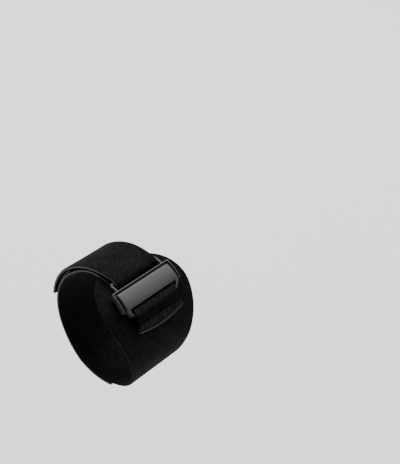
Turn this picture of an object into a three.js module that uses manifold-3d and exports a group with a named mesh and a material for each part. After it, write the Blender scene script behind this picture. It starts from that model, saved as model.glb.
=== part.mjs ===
// Tennis elbow strap: a wide padded band with a round lobe, closed by a strap that runs
// through a moulded buckle and folds back on itself.
//
// Millimetres. X runs through the loop toward its tighter end, Z is up, and -Y is the front.
// The origin is in the middle of the loop. The band is drawn round an oval, which is its inner
// face: a place on it is a length along the oval from the buckle's rim, growing over the far
// side, and a height off the oval.

import * as THREE from 'three';
import { mergeVertices } from 'three/addons/utils/BufferGeometryUtils.js';
import Module from 'manifold-3d';

// The oval hollow inside the loop
const loopDepth = 86.8; // across the loop through the buckle
const loopWidth = 76.5;
const loopTaper = 0.02; // radius lost for each millimetre toward the tighter end
const buckleTurn = 25; // degrees from upright to the front
const pieceGap = 0.3;

// Pad
const padThickness = 2.3;
const padLength = 150;
const lobeRadius = 34.1;
const lobeReach = 21.6; // from the buckle's rim to the lobe's tip
const lobeShift = -1.3; // of the lobe's middle from the strap's, along X
const padTaper = 96; // length over which the pad narrows to the strap
const taperBend = 0.75; // under 1 it narrows sooner

// Closing strap
const strapThickness = 2.1;
const strapWidth = 35.5;
const strapPinch = 0.5; // lost at each edge where the strap turns round its bar
const pinchLength = 14;
const seamOverlap = 26; // strap sewn over the pad's narrow end
const stepLength = 26; // in which the strap steps off the pad
const wedgeLength = 20; // in which the folded strap comes down on itself
const landing = 0.7; // how softly cloth lands after a step, from 0 to 1
const tailLength = 73; // from the bar to the folded strap's end

// Hook tab on the inner face of the folded end
const tabThickness = 1;
const tabLength = 28;
const tabMargin = 2;

// Buckle, made to the strap's width
const slotClearance = 1.35; // beside the webbing
const webClearance = 0.5; // between the webbing and the plate
const wall = 1.1;
const rimThickness = 0.9;
const rimHeight = 5.9; // above the pad
const sideHeight = 4.6;
const floorThickness = 1.3;
const floorHeight = 3.7;
const plateLength = 10.4;
const plateHeight = 6.6;
const grooveWidth = 0.9;
const sideGroove = 1.2;
const sideLift = 1.2; // of the side walls' lower edge off the pad
const farBar = 2.4;
const nearBar = 2.4;
const earWidth = 2.6;
const armReach = 1.3; // of each side arm past the middle of the far bar

// Webbing loop that holds the buckle to the pad
const webThickness = 1.2;
const webFlare = 1.7; // the sewn end spreads this much at each edge
const webSewn = 13.4; // from the near bar to the loop's end
const webDrop = 6.8; // in which the loop comes down on the pad
const webBow = 2.4; // how far the end's middle runs past its corners

// Steps of the curved surfaces
const bandStep = 5;
const foldStep = 1.25;
const buckleStep = 2.6;
const webColumns = 9;
const turnSides = 10;
const barSides = 12;
const tipTurns = 9;
const tipCut = 0.1; // half the tip's last chord, as a share of the lobe's radius
const arcSteps = 1440;
const weld = 1e-4;

const fabric = new THREE.MeshStandardMaterial({ color: 0x1b1c1e, roughness: 0.95, metalness: 0 });
const laminate = new THREE.MeshStandardMaterial({ color: 0x17181a, roughness: 0.95, metalness: 0 });
const webbing = new THREE.MeshStandardMaterial({ color: 0x111214, roughness: 0.8, metalness: 0 });
const hook = new THREE.MeshStandardMaterial({ color: 0x0d0d0e, roughness: 0.7, metalness: 0 });
const plastic = new THREE.MeshStandardMaterial({ color: 0x2b2c2f, roughness: 0.4, metalness: 0 });

// Lengths along the oval
const halfDepth = loopDepth / 2;
const halfWidth = loopWidth / 2;

function arcTable() {
  const rows = [{ turn: 0, length: 0 }];
  let last = new THREE.Vector2(0, halfDepth);
  for (let i = 1; i <= arcSteps; i++) {
    const turn = (i / arcSteps) * 2 * Math.PI;
    const next = new THREE.Vector2(halfWidth * Math.sin(turn), halfDepth * Math.cos(turn));
    rows.push({ turn, length: rows[i - 1].length + next.distanceTo(last) });
    last = next;
  }
  return rows;
}

const arcs = arcTable();
const girth = arcs[arcs.length - 1].length;

function turnAt(length) {
  const wanted = THREE.MathUtils.euclideanModulo(length, girth);
  const i = arcs.findIndex((row) => row.length > wanted);
  const a = arcs[i - 1];
  const b = arcs[i];
  return THREE.MathUtils.mapLinear(wanted, a.length, b.length, a.turn, b.turn);
}

// The oval's frame at a length along it: its point, the way out and the way on
function frameAt(length) {
  const turn = turnAt(length);
  const on = new THREE.Vector2(halfWidth * Math.cos(turn), -halfDepth * Math.sin(turn)).normalize();
  return {
    point: new THREE.Vector2(halfWidth * Math.sin(turn), halfDepth * Math.cos(turn)),
    out: new THREE.Vector2(-on.y, on.x),
    on,
  };
}

function place(length, height) {
  const { point, out } = frameAt(length);
  return point.addScaledVector(out, height);
}

function smooth(from, to, value) {
  return THREE.MathUtils.smoothstep(value, from, to);
}

// How cloth comes down over a step: nearly straight, so it falls fast and lands softly
function settle(from, to, value) {
  const share = THREE.MathUtils.clamp((value - from) / (to - from), 0, 1);
  return (1 - share) ** 2 * (1 + landing * share);
}

// Lengths from the first stop to the last, with a row at each stop
function steps(longest, ...stops) {
  const rows = [stops[0]];
  for (let i = 1; i < stops.length; i++) {
    const span = stops[i] - stops[i - 1];
    const count = Math.max(1, Math.ceil(Math.abs(span) / longest));
    for (let j = 1; j <= count; j++) {
      rows.push(stops[i - 1] + (span * j) / count);
    }
  }
  return rows;
}

// Points of a soft piece's middle line, with the way out of each
function layer(lengths, heightAt, sense) {
  return lengths.map((at) => {
    const { out } = frameAt(at);
    return { at, middle: place(at, heightAt(at)), out: out.multiplyScalar(sense) };
  });
}

// A half turn round a bar, from under it to over it, on the side that sense gives
function halfTurn(at, height, radius, sense) {
  const { out, on } = frameAt(at);
  const centre = place(at, height);
  const points = [];
  for (let i = 1; i < turnSides; i++) {
    const angle = (i / turnSides) * Math.PI;
    const away = new THREE.Vector2()
      .addScaledVector(out, -Math.cos(angle))
      .addScaledVector(on, sense * Math.sin(angle));
    points.push({ at, middle: centre.clone().addScaledVector(away, radius), out: away.negate() });
  }
  return points;
}

// One closed solid from a grid of points: rows along the piece, columns across it
function sheetSolid(rows, columns, pointAt) {
  const position = [];
  const index = [];
  const corner = (side, row, column) => (side * rows + row) * columns + column;
  for (let side = 0; side < 2; side++) {
    for (let row = 0; row < rows; row++) {
      for (let column = 0; column < columns; column++) {
        position.push(...pointAt(row, column / (columns - 1), side).toArray());
      }
    }
  }
  const quad = (a, b, c, d) => index.push(a, b, c, a, c, d);
  const face = (row, column, side) => [
    corner(side, row, column),
    corner(side, row + 1, column),
    corner(side, row + 1, column + 1),
    corner(side, row, column + 1),
  ];
  for (let row = 0; row < rows - 1; row++) {
    for (let column = 0; column < columns - 1; column++) {
      quad(...face(row, column, 0));
      quad(...face(row, column, 1).reverse());
    }
    for (const [column, flip] of [[0, true], [columns - 1, false]]) {
      const edge = [
        corner(0, row, column),
        corner(0, row + 1, column),
        corner(1, row + 1, column),
        corner(1, row, column),
      ];
      quad(...(flip ? edge.reverse() : edge));
    }
  }
  for (let column = 0; column < columns - 1; column++) {
    for (const [row, flip] of [[0, false], [rows - 1, true]]) {
      const edge = [
        corner(0, row, column),
        corner(0, row, column + 1),
        corner(1, row, column + 1),
        corner(1, row, column),
      ];
      quad(...(flip ? edge.reverse() : edge));
    }
  }
  const geometry = new THREE.BufferGeometry();
  geometry.setAttribute('position', new THREE.Float32BufferAttribute(position, 3));
  geometry.setIndex(index);
  return facingOut(geometry);
}

function signedVolume(geometry) {
  const { array } = geometry.attributes.position;
  const at = (i) => new THREE.Vector3().fromArray(array, 3 * geometry.index.getX(i));
  let sum = 0;
  for (let i = 0; i < geometry.index.count; i += 3) {
    sum += at(i).dot(at(i + 1).cross(at(i + 2))) / 6;
  }
  return sum;
}

function facingOut(geometry) {
  if (signedVolume(geometry) < 0) {
    geometry.index.array.reverse();
  }
  return geometry;
}

// A band of even thickness along a middle line. edgesAt gives its two edges at each step,
// and bowAt how far the middle of a row runs on past its corners.
function band(line, thickness, edgesAt, columns = 2, bowAt = () => 0) {
  return sheetSolid(line.length, columns, (row, share, side) => {
    const { at, middle, out } = line[row];
    const [left, right] = edgesAt(at, row);
    const across = 2 * share - 1;
    const x = THREE.MathUtils.lerp(left, right, share);
    const shift = bowAt(at, row) * (1 - across * across);
    const { on } = frameAt(at);
    const face = middle.clone().addScaledVector(out, (side - 0.5) * thickness);
    face.addScaledVector(on, shift);
    return new THREE.Vector3(x, face.x, face.y);
  });
}

// Pad
const lobeCentre = lobeReach - lobeRadius;
const padEnd = lobeReach - padLength;
const padTop = padThickness;

// How far the pad has narrowed at a place: 0 at the lobe, 1 where it is as wide as the strap
function narrowed(at) {
  const share = THREE.MathUtils.clamp((lobeCentre - at) / padTaper, 0, 1);
  return (1 - Math.cos(Math.PI * share ** taperBend)) / 2;
}

function padHalfWidth(at) {
  if (at > lobeCentre) {
    return Math.sqrt(Math.max(lobeRadius ** 2 - (at - lobeCentre) ** 2, 0));
  }
  return THREE.MathUtils.lerp(lobeRadius, strapWidth / 2, narrowed(at));
}

function pad() {
  const round = Array.from({ length: tipTurns + 1 }, (_, i) => {
    return lobeCentre + lobeRadius * Math.sin((i / tipTurns) * Math.acos(tipCut));
  });
  const lengths = [...steps(bandStep, padEnd, lobeCentre), ...round.slice(1)];
  const line = layer(lengths, () => padThickness / 2, 1);
  return band(line, padThickness, (at) => {
    const half = padHalfWidth(at);
    const shift = lobeShift * (1 - narrowed(at));
    return [shift - half, shift + half];
  });
}

// Closing strap: under the far bar, round it and back over itself
const layerOne = padTop + pieceGap;
const farBarPlace = rimThickness + pieceGap + strapThickness + pieceGap + farBar / 2;
const farBarHeight = layerOne + strapThickness + pieceGap + farBar / 2;
const padEndBehind = girth + padEnd;
const tailEnd = farBarPlace + tailLength;
const tabEnd = tailEnd - tabMargin;

const overLobe = lobeReach + pieceGap;
const offLobe = overLobe + stepLength;
const ontoPad = padEndBehind - pieceGap;
const nearPad = ontoPad - stepLength;
const tabStart = tabEnd - tabLength - pieceGap;

function lowerFace(at) {
  return layerOne * Math.max(settle(overLobe, offLobe, at), settle(ontoPad, nearPad, at));
}

function upperFace(at) {
  const closed = lowerFace(at) + strapThickness + pieceGap;
  const wedge = (farBar + pieceGap) * settle(farBarPlace, farBarPlace + wedgeLength, at);
  const overTab = (tabThickness + pieceGap) * settle(tabStart, tabStart - stepLength, at);
  return closed + wedge + overTab;
}

function strapEdges(at) {
  const pinch = strapPinch * (1 - smooth(farBarPlace, farBarPlace + pinchLength, at));
  const half = strapWidth / 2 - pinch;
  return [-half, half];
}

function closingStrap() {
  const middle = strapThickness / 2;
  const sewnEnd = padEndBehind + seamOverlap;
  const lowerRows = steps(bandStep, sewnEnd, ontoPad, nearPad, offLobe, overLobe, farBarPlace);
  const upperRows = steps(bandStep, farBarPlace, overLobe, offLobe, tabStart, tailEnd);
  const turnRadius = farBar / 2 + pieceGap + middle;
  const line = [
    ...layer(lowerRows, (at) => lowerFace(at) + middle, 1),
    ...halfTurn(farBarPlace, farBarHeight, turnRadius, -1),
    ...layer(upperRows, (at) => upperFace(at) + middle, -1),
  ];
  return band(line, strapThickness, strapEdges);
}

function hookTab() {
  const height = (at) => lowerFace(at) + strapThickness + pieceGap + tabThickness / 2;
  const line = layer(steps(bandStep, tabEnd - tabLength, tabEnd), height, 1);
  const half = strapWidth / 2 - tabMargin;
  return band(line, tabThickness, () => [-half, half]);
}

// Webbing loop round the near bar
const plateFar = -grooveWidth;
const plateNear = plateFar - plateLength;
const nearSlot = pieceGap + webThickness + webClearance;
const nearBarPlace = plateNear - nearSlot - nearBar / 2;
const nearBarHeight = layerOne + webThickness + pieceGap + nearBar / 2;
const webEnd = nearBarPlace - webSewn;
const webCorner = webEnd + webBow;

function buckleLoop() {
  const middle = webThickness / 2;
  const sewnTop = layerOne + webThickness + pieceGap + middle;
  const turnRadius = nearBar / 2 + pieceGap + middle;
  const top = (at) => {
    const rise = smooth(nearBarPlace - webDrop, nearBarPlace, at);
    return THREE.MathUtils.lerp(sewnTop, nearBarHeight + turnRadius, rise);
  };
  const line = [
    ...layer(steps(bandStep, webCorner, nearBarPlace), () => layerOne + middle, 1),
    ...halfTurn(nearBarPlace, nearBarHeight, turnRadius, 1),
    ...layer(steps(foldStep, nearBarPlace, webCorner), top, -1),
  ];
  const onTop = (row) => row > line.length / 2;
  const edges = (at, row) => {
    const flare = onTop(row) ? webFlare * smooth(-nearBarPlace, -webCorner, -at) : 0;
    const half = strapWidth / 2 + flare;
    return [-half, half];
  };
  const landed = nearBarPlace - webDrop;
  const bow = (at, row) => (onTop(row) ? -webBow * smooth(-landed, -webCorner, -at) : 0);
  return band(line, webThickness, edges, webColumns, bow);
}

// Buckle: profiles drawn along the oval and pulled out along X
function profile(rows) {
  const outline = [];
  for (let i = 0; i < rows.length - 1; i++) {
    const a = rows[i];
    const b = rows[i + 1];
    const cuts = Math.max(1, Math.ceil(Math.abs(b.at - a.at) / buckleStep));
    for (let j = 0; j < cuts; j++) {
      const t = j / cuts;
      outline.push({
        at: THREE.MathUtils.lerp(a.at, b.at, t),
        low: THREE.MathUtils.lerp(a.low, b.low, t),
        high: THREE.MathUtils.lerp(a.high, b.high, t),
      });
    }
  }
  outline.push(rows[rows.length - 1]);
  const over = outline.map(({ at, high }) => place(at, padTop + high));
  const under = outline.map(({ at, low }) => place(at, padTop + low)).reverse();
  return new THREE.Shape([...over, ...under]);
}

// The shape's plane stands across the loop, and its depth runs through it
const throughLoop = new THREE.Matrix4().makeBasis(
  new THREE.Vector3(0, 1, 0),
  new THREE.Vector3(0, 0, 1),
  new THREE.Vector3(1, 0, 0),
);

function pulled(shape, from, to) {
  const geometry = new THREE.ExtrudeGeometry(shape, { depth: to - from, bevelEnabled: false });
  geometry.applyMatrix4(throughLoop);
  return geometry.translate(from, 0, 0);
}

function bar(at, height, diameter, half) {
  const shape = new THREE.Shape();
  const { x, y } = place(at, height);
  shape.absarc(x, y, diameter / 2, 0, 2 * Math.PI);
  const depth = { depth: 2 * half, bevelEnabled: false, curveSegments: barSides };
  const geometry = new THREE.ExtrudeGeometry(shape, depth);
  geometry.applyMatrix4(throughLoop);
  return geometry.translate(-half, 0, 0);
}

function bothSides(shape, inner, outer) {
  return [pulled(shape, inner, outer), pulled(shape, -outer, -inner)];
}

const plateHalf = strapWidth / 2 + slotClearance + earWidth;
const buckleHalf = plateHalf + sideGroove + wall;
const armInner = strapWidth / 2 - strapPinch + 2 * pieceGap;
const floorLow = floorHeight - floorThickness;

// Crown of the plate: share of its length from the rim, and of its height
const crown = [
  { share: 0, rise: 0.9 },
  { share: 0.06, rise: 0.95 },
  { share: 0.3, rise: 1 },
  { share: 0.6, rise: 0.99 },
  { share: 0.85, rise: 0.94 },
  { share: 0.96, rise: 0.89 },
  { share: 1, rise: 0.84 },
];

function bucklePlate() {
  const rows = crown.map(({ share, rise }) => ({
    at: plateFar - share * plateLength,
    low: floorLow,
    high: rise * plateHeight,
  }));
  return pulled(profile(rows), -plateHalf, plateHalf);
}

function buckleFloor() {
  const rows = [
    { at: rimThickness, low: floorLow, high: floorHeight },
    { at: plateNear, low: floorLow, high: floorHeight },
  ];
  return pulled(profile(rows), -buckleHalf, buckleHalf);
}

function buckleRim() {
  const rows = [
    { at: rimThickness, low: sideLift, high: rimHeight },
    { at: 0, low: sideLift, high: rimHeight },
  ];
  return pulled(profile(rows), -buckleHalf, buckleHalf);
}

// Side walls: 0 is their lower edge, 1 the side's height and 2 the rim's
const sideRise = [
  { share: 0, rise: 2 },
  { share: 0.08, rise: 1.7 },
  { share: 0.3, rise: 1.25 },
  { share: 0.6, rise: 1 },
  { share: 0.85, rise: 0.8 },
  { share: 0.96, rise: 0.5 },
  { share: 1, rise: 0.15 },
];

function buckleSides() {
  const length = rimThickness - plateNear + nearSlot;
  const rows = sideRise.map(({ share, rise }) => ({
    at: rimThickness - share * length,
    low: sideLift,
    high: THREE.MathUtils.lerp(sideLift, sideHeight, Math.min(rise, 1)) +
      Math.max(rise - 1, 0) * (rimHeight - sideHeight),
  }));
  return bothSides(profile(rows), buckleHalf - wall, buckleHalf);
}

// Ears carry on past the plate on each side of the near slot and hold the near bar. Share is
// of their length, low of the way up from the pad to the floor, high of the plate's height.
const earSide = [
  { share: -0.2, low: 1, high: 0.85 },
  { share: 0, low: 1, high: 0.84 },
  { share: 0.3, low: 0.43, high: 0.8 },
  { share: 0.65, low: 0, high: 0.67 },
  { share: 0.9, low: 0, high: 0.48 },
  { share: 1, low: 0.6, high: 0.3 },
];

function buckleEars() {
  const reach = nearSlot + nearBar + wall / 2;
  const rows = earSide.map(({ share, low, high }) => ({
    at: plateNear - share * reach,
    low: THREE.MathUtils.lerp(pieceGap, floorLow, low),
    high: high * plateHeight,
  }));
  return bothSides(profile(rows), plateHalf - earWidth, plateHalf);
}

// Side arms hold the far bar beyond the rim, inside the line of the side walls. Share is of
// their length, low and high are in radii of the bar from its middle.
const armSide = [
  { share: 1, low: -0.6, high: 0.6 },
  { share: 0.92, low: -1, high: 1 },
  { share: 0.6, low: -1, high: 1.1 },
];

function buckleArms() {
  const middle = farBarHeight - padTop;
  const radius = farBar / 2;
  const rows = armSide.map(({ share, low, high }) => ({
    at: share * (farBarPlace + armReach),
    low: middle + low * radius,
    high: middle + high * radius,
  }));
  rows.push({ at: 0, low: floorLow, high: rimHeight });
  return bothSides(profile(rows), armInner, armInner + earWidth);
}

function joined(wasm, geometries) {
  const solids = geometries.map((geometry) => {
    geometry.deleteAttribute('normal');
    geometry.deleteAttribute('uv');
    const merged = mergeVertices(geometry, weld);
    const mesh = new wasm.Mesh({
      numProp: 3,
      vertProperties: new Float32Array(merged.attributes.position.array),
      triVerts: new Uint32Array(merged.index.array),
    });
    return new wasm.Manifold(mesh);
  });
  const mesh = solids.reduce((all, next) => all.add(next)).getMesh();
  const geometry = new THREE.BufferGeometry();
  geometry.setAttribute('position', new THREE.Float32BufferAttribute(mesh.vertProperties, 3));
  geometry.setIndex([...mesh.triVerts]);
  return geometry;
}

function buckle(wasm) {
  return joined(wasm, [
    bucklePlate(),
    buckleFloor(),
    buckleRim(),
    ...buckleSides(),
    ...buckleEars(),
    ...buckleArms(),
    bar(farBarPlace, farBarHeight, farBar, armInner + earWidth / 2),
    bar(nearBarPlace, nearBarHeight, nearBar, plateHalf - earWidth / 2),
  ]);
}

// The whole loop is drawn in toward its tighter end
function tapered(geometry) {
  const { position } = geometry.attributes;
  for (let i = 0; i < position.count; i++) {
    const x = position.getX(i);
    const narrow = 1 - (loopTaper * x) / halfDepth;
    position.setXYZ(i, x, position.getY(i) * narrow, position.getZ(i) * narrow);
  }
  return geometry;
}

function named(name, geometry, material) {
  const shown = tapered(geometry).toNonIndexed();
  shown.computeVertexNormals();
  const mesh = new THREE.Mesh(shown, material);
  mesh.name = name;
  return mesh;
}

const wasm = await Module();
wasm.setup();

const strap = new THREE.Group();
strap.add(
  named('pad', pad(), fabric),
  named('closing_strap', closingStrap(), laminate),
  named('hook_tab', hookTab(), hook),
  named('buckle_loop', buckleLoop(), webbing),
  named('buckle', buckle(wasm), plastic),
);
strap.rotation.x = THREE.MathUtils.degToRad(buckleTurn);

export default strap;
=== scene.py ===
import math
from contextlib import contextmanager

import bmesh
import bpy
import numpy as np
from bpy.props import FloatProperty, FloatVectorProperty, PointerProperty
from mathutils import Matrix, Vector


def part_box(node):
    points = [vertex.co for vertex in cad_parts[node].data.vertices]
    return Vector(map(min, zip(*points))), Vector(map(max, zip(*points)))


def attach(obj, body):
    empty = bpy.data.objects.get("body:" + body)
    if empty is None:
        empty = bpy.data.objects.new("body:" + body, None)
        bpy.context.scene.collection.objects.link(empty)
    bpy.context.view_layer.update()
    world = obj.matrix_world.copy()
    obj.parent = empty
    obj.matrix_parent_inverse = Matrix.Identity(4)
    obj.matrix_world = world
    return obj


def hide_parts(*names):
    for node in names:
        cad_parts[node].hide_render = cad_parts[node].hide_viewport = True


bl_info = {
    "name": "Tennis elbow strap",
    "version": (1, 0, 0),
    "blender": (4, 5, 0),
    "location": "View3D > Sidebar > Strap",
    "description": "Makes a padded strap with its buckle, webbing, stitches and finishes",
    "category": "Add Mesh",
}

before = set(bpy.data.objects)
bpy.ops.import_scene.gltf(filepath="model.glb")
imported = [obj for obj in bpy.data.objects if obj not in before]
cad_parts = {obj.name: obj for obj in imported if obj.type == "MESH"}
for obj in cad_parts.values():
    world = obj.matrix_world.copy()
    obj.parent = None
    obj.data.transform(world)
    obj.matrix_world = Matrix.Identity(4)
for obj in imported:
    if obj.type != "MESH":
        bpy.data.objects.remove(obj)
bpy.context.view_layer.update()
STRAP_LOW, STRAP_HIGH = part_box("closing_strap")
BODY = "root"

# Steps of the curved surfaces, in metres unless they are counts
CLOTH_STEP = 0.0012
FOLD_TURNS = 16
EDGE_TURNS = 3
TIP_TURNS = 34
TIP_ANGLE = math.radians(88)
BUCKLE_STEP = 0.0009
CROWN_STEP = 0.004
BAR_SIDES = 32
OVAL_STEPS = 1440


def length(name, default, description):
    return FloatProperty(
        name=name, description=description, default=default,
        subtype="DISTANCE", unit="LENGTH", precision=5,
    )


def colour(name, default, description):
    return FloatVectorProperty(
        name=name, description=description, default=default,
        subtype="COLOR", size=3, min=0.0, max=1.0,
    )


class LoopSizes(bpy.types.PropertyGroup):
    """The oval hollow inside the loop"""

    depth: length("Depth", 0.0868, "Across the hollow through the buckle")
    width: length("Width", 0.0765, "Across the hollow the other way")
    taper: FloatProperty(
        name="Taper", description="Radius lost for each metre toward the tighter end",
        default=0.02, min=0.0, max=0.2,
    )
    buckle_turn: FloatProperty(
        name="Buckle turn", description="From upright to the front",
        default=math.radians(25), subtype="ANGLE", unit="ROTATION",
    )
    gap: length("Gap", 0.0003, "Between pieces that lie on each other")


class PadSizes(bpy.types.PropertyGroup):
    """The padded band"""

    thickness: length("Thickness", 0.0023, "Of the padded band")
    length: length("Length", 0.150, "From the lobe's tip to the seam")
    lobe_radius: length("Lobe radius", 0.0341, "Of the round end under the buckle")
    lobe_reach: length("Lobe reach", 0.0216, "From the buckle's rim to the lobe's tip")
    lobe_shift: length("Lobe shift", -0.0013, "Of the lobe's middle from the strap's")
    taper: length("Taper", 0.096, "Over which the pad narrows to the strap")
    taper_bend: FloatProperty(
        name="Taper bend", description="Under 1 the pad narrows sooner", default=0.75, min=0.2, max=2.0
    )


class StrapSizes(bpy.types.PropertyGroup):
    """The closing strap and its hook tab"""

    thickness: length("Thickness", 0.0021, "Of the closing strap")
    width: length("Width", STRAP_HIGH.x - STRAP_LOW.x, "Of the closing strap")
    pinch: length("Pinch", 0.0005, "Lost at each edge where the strap turns")
    pinch_length: length("Pinch length", 0.014, "Over which the strap widens again")
    seam: length("Seam", 0.026, "Overlap of strap and pad")
    step: length("Step", 0.026, "In which the strap steps off the pad")
    wedge: length("Wedge", 0.020, "In which the folded strap comes down on itself")
    tail: length("Tail", 0.073, "From the bar to the folded end")
    tab_thickness: length("Tab thickness", 0.001, "Of the hook tab")
    tab_length: length("Tab length", 0.028, "Of the hook tab")
    tab_margin: length("Tab margin", 0.002, "From the hook tab to the strap's edges")
    rounding: length("Rounding", 0.0005, "Of the cut edges")


class BuckleSizes(bpy.types.PropertyGroup):
    """The moulded buckle"""

    slot_clearance: length("Slot clearance", 0.00135, "Beside the webbing")
    web_clearance: length("Webbing clearance", 0.0005, "Between webbing and plate")
    wall: length("Wall", 0.0007, "Of the side walls")
    set_back: length("Set back", 0.0004, "The far rim stands this far nearer than the loop's zero line")
    rim_thickness: length("Rim thickness", 0.00062, "Of the far rim, past its inner face")
    strap_room: length("Strap room", 0.00068, "Between the far rim and the strap")
    rim_height: length("Rim height", 0.0061, "Above the pad")
    side_height: length("Side height", 0.0046, "Above the pad")
    floor_thickness: length("Floor thickness", 0.0010, "Under the groove")
    floor_height: length("Floor height", 0.0028, "Above the pad")
    plate_length: length("Plate length", 0.0094, "Along the loop")
    plate_height: length("Plate height", 0.0066, "Above the pad")
    plate_spread: length("Plate spread", 0.0005, "Wider by this at each side toward the near slot")
    groove: length("Groove", 0.0012, "Between rim and plate")
    side_groove: length("Side groove", 0.0016, "Between side walls and plate")
    side_lift: length("Side lift", 0.0012, "Of the walls' lower edge off the pad")
    far_bar: length("Far bar", 0.0024, "Diameter")
    near_bar: length("Near bar", 0.0024, "Diameter")
    ear_width: length("Ear width", 0.0026, "Beside the near slot")
    ear_taper: length("Ear taper", 0.0019, "The ears' outer sides draw in by this")
    wall_spread: length("Wall spread", 0.0006, "The side walls stand out by this at their near ends")
    lug_width: length("Lug width", 0.0015, "Beside the far bar")
    lug_room: length("Lug room", 0.0006, "Between the strap and each lug")
    lug_reach: length("Lug reach", 0.0004, "Past the middle of the far bar")
    droop: length("Droop", 0.0002, "The plate falls by this toward its ends")
    rounding: length("Rounding", 0.00042, "Of the moulded edges")


class WebbingSizes(bpy.types.PropertyGroup):
    """The webbing loop and its stitches"""

    thickness: length("Thickness", 0.0012, "Of the webbing")
    flare: length("Flare", 0.0017, "The sewn end spreads this much at each edge")
    sewn: length("Sewn", 0.0137, "From the near bar to the loop's end")
    drop: length("Drop", 0.0074, "In which the loop comes down on the pad")
    fall: length("Fall", 0.0078, "In which the loop falls off the near bar")
    bow: length("Bow", 0.0024, "How far the end's middle runs past its corners")
    pucker: length("Pucker", 0.0010, "Height of the sewn ridge")
    crease: length("Crease", 0.0005, "Depth of the crease down from the near bar")
    bead: length("Bead", 0.0005, "Width of the sealed edge")
    bead_rise: length("Bead rise", 0.00018, "Height of the sealed edge")
    stitch: length("Stitch", 0.0024, "From hole to hole")
    thread: length("Thread", 0.00042, "Diameter")


class FinishColours(bpy.types.PropertyGroup):
    """Colours of the finishes"""

    pile_dark: colour("Pile, dark", (0.0016, 0.0017, 0.0019), "Loop cloth in its hollows")
    pile_light: colour("Pile, light", (0.0085, 0.0087, 0.0092), "Loop cloth on its raised fibres")
    foam: colour("Foam", (0.150, 0.132, 0.122), "Cut edge of the strap's foam")
    pad_foam: colour("Pad foam", (0.0022, 0.0020, 0.0020), "Cut edge of the pad's foam")
    lint: colour("Lint", (0.10, 0.10, 0.10), "Specks on the cloth")
    webbing: colour("Webbing", (0.0016, 0.0016, 0.0017), "Ribbed webbing")
    # The sealed edge's grey is partly the melted edge's own colour and partly a painted highlight of the
    # light it catches.
    sealed_edge_and_glint: colour("Sealed edge", (0.075, 0.075, 0.078), "Melted edge of the webbing")
    thread: colour("Thread", (0.0045, 0.0045, 0.0047), "Stitches")
    hook: colour("Hook tape", (0.004, 0.004, 0.0043), "Hook tape")
    plastic: colour("Plastic", (0.036, 0.037, 0.040), "Moulded buckle")
    floor: colour("Floor", (0.95, 0.95, 0.95), "Studio floor")


class StrapSettings(bpy.types.PropertyGroup):
    """All sizes and colours of the strap"""

    loop: PointerProperty(type=LoopSizes)
    pad: PointerProperty(type=PadSizes)
    strap: PointerProperty(type=StrapSizes)
    buckle: PointerProperty(type=BuckleSizes)
    webbing: PointerProperty(type=WebbingSizes)
    colours: PointerProperty(type=FinishColours)


# Places are worked out flat: x across, along the loop from the buckle's rim, and height off
# the loop's inner face. Then each piece is laid round the loop.
class Layout:
    """Places along the loop and heights off its inner face, from the sizes."""

    def __init__(self, sizes):
        loop, pad, strap = sizes.loop, sizes.pad, sizes.strap
        buckle, web = sizes.buckle, sizes.webbing
        self.sizes = sizes
        self.half_depth = loop.depth / 2
        self.half_width = loop.width / 2
        self.turns = np.linspace(0, 2 * math.pi, OVAL_STEPS + 1)
        oval = np.stack([self.half_width * np.sin(self.turns), self.half_depth * np.cos(self.turns)])
        chords = np.linalg.norm(np.diff(oval), axis=0)
        self.lengths = np.concatenate([[0.0], np.cumsum(chords)])
        self.girth = self.lengths[-1]

        self.pad_top = pad.thickness
        self.layer_one = self.pad_top + loop.gap
        self.lobe_centre = pad.lobe_reach - pad.lobe_radius
        self.pad_end = pad.lobe_reach - pad.length

        room = buckle.strap_room + 2 * loop.gap + strap.thickness
        self.rim_inner = -buckle.set_back
        self.rim_outer = self.rim_inner + buckle.rim_thickness
        self.far_bar_place = self.rim_outer + room + buckle.far_bar / 2
        self.far_bar_height = self.layer_one + strap.thickness + loop.gap + buckle.far_bar / 2
        self.pad_end_behind = self.girth + self.pad_end
        self.tail_end = self.far_bar_place + strap.tail
        self.tab_end = self.tail_end - strap.tab_margin
        self.tab_start = self.tab_end - strap.tab_length - loop.gap
        self.over_lobe = pad.lobe_reach + loop.gap
        self.off_lobe = self.over_lobe + strap.step
        self.onto_pad = self.pad_end_behind - loop.gap
        self.near_pad = self.onto_pad - strap.step

        self.plate_far = self.rim_inner - buckle.groove
        self.plate_near = self.plate_far - buckle.plate_length
        self.near_slot = loop.gap + web.thickness + buckle.web_clearance
        self.near_bar_place = self.plate_near - self.near_slot - buckle.near_bar / 2
        self.near_bar_height = self.layer_one + web.thickness + loop.gap + buckle.near_bar / 2
        self.web_foot = self.near_bar_place - web.drop
        self.web_corner = self.near_bar_place - web.sewn + web.bow
        self.plate_half = strap.width / 2 + buckle.slot_clearance + buckle.ear_width
        self.buckle_half = self.plate_half + buckle.side_groove + buckle.wall
        self.lug_inner = strap.width / 2 - strap.pinch + 2 * loop.gap + buckle.lug_room
        self.floor_low = buckle.floor_height - buckle.floor_thickness

    def lower_face(self, at):
        off = settle(self.over_lobe, self.off_lobe, at)
        return self.layer_one * max(off, settle(self.onto_pad, self.near_pad, at))

    def upper_face(self, at):
        strap, gap = self.sizes.strap, self.sizes.loop.gap
        closed = self.lower_face(at) + strap.thickness + gap
        bar = self.sizes.buckle.far_bar
        wedge = (bar + gap) * settle(self.far_bar_place, self.far_bar_place + strap.wedge, at)
        tab = (strap.tab_thickness + gap) * settle(self.tab_start, self.tab_start - strap.step, at)
        return closed + wedge + tab

    def narrowed(self, at):
        share = reached(self.lobe_centre, self.lobe_centre - self.sizes.pad.taper, at)
        return (1 - math.cos(math.pi * share ** self.sizes.pad.taper_bend)) / 2


def reached(start, end, value):
    """The share of the way from start to end, from 0 to 1."""
    return min(max((value - start) / (end - start), 0), 1)


# How cloth comes down over a step: 0 is steepest at once, 2 is an even S
FULLNESS = 0.7


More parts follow.
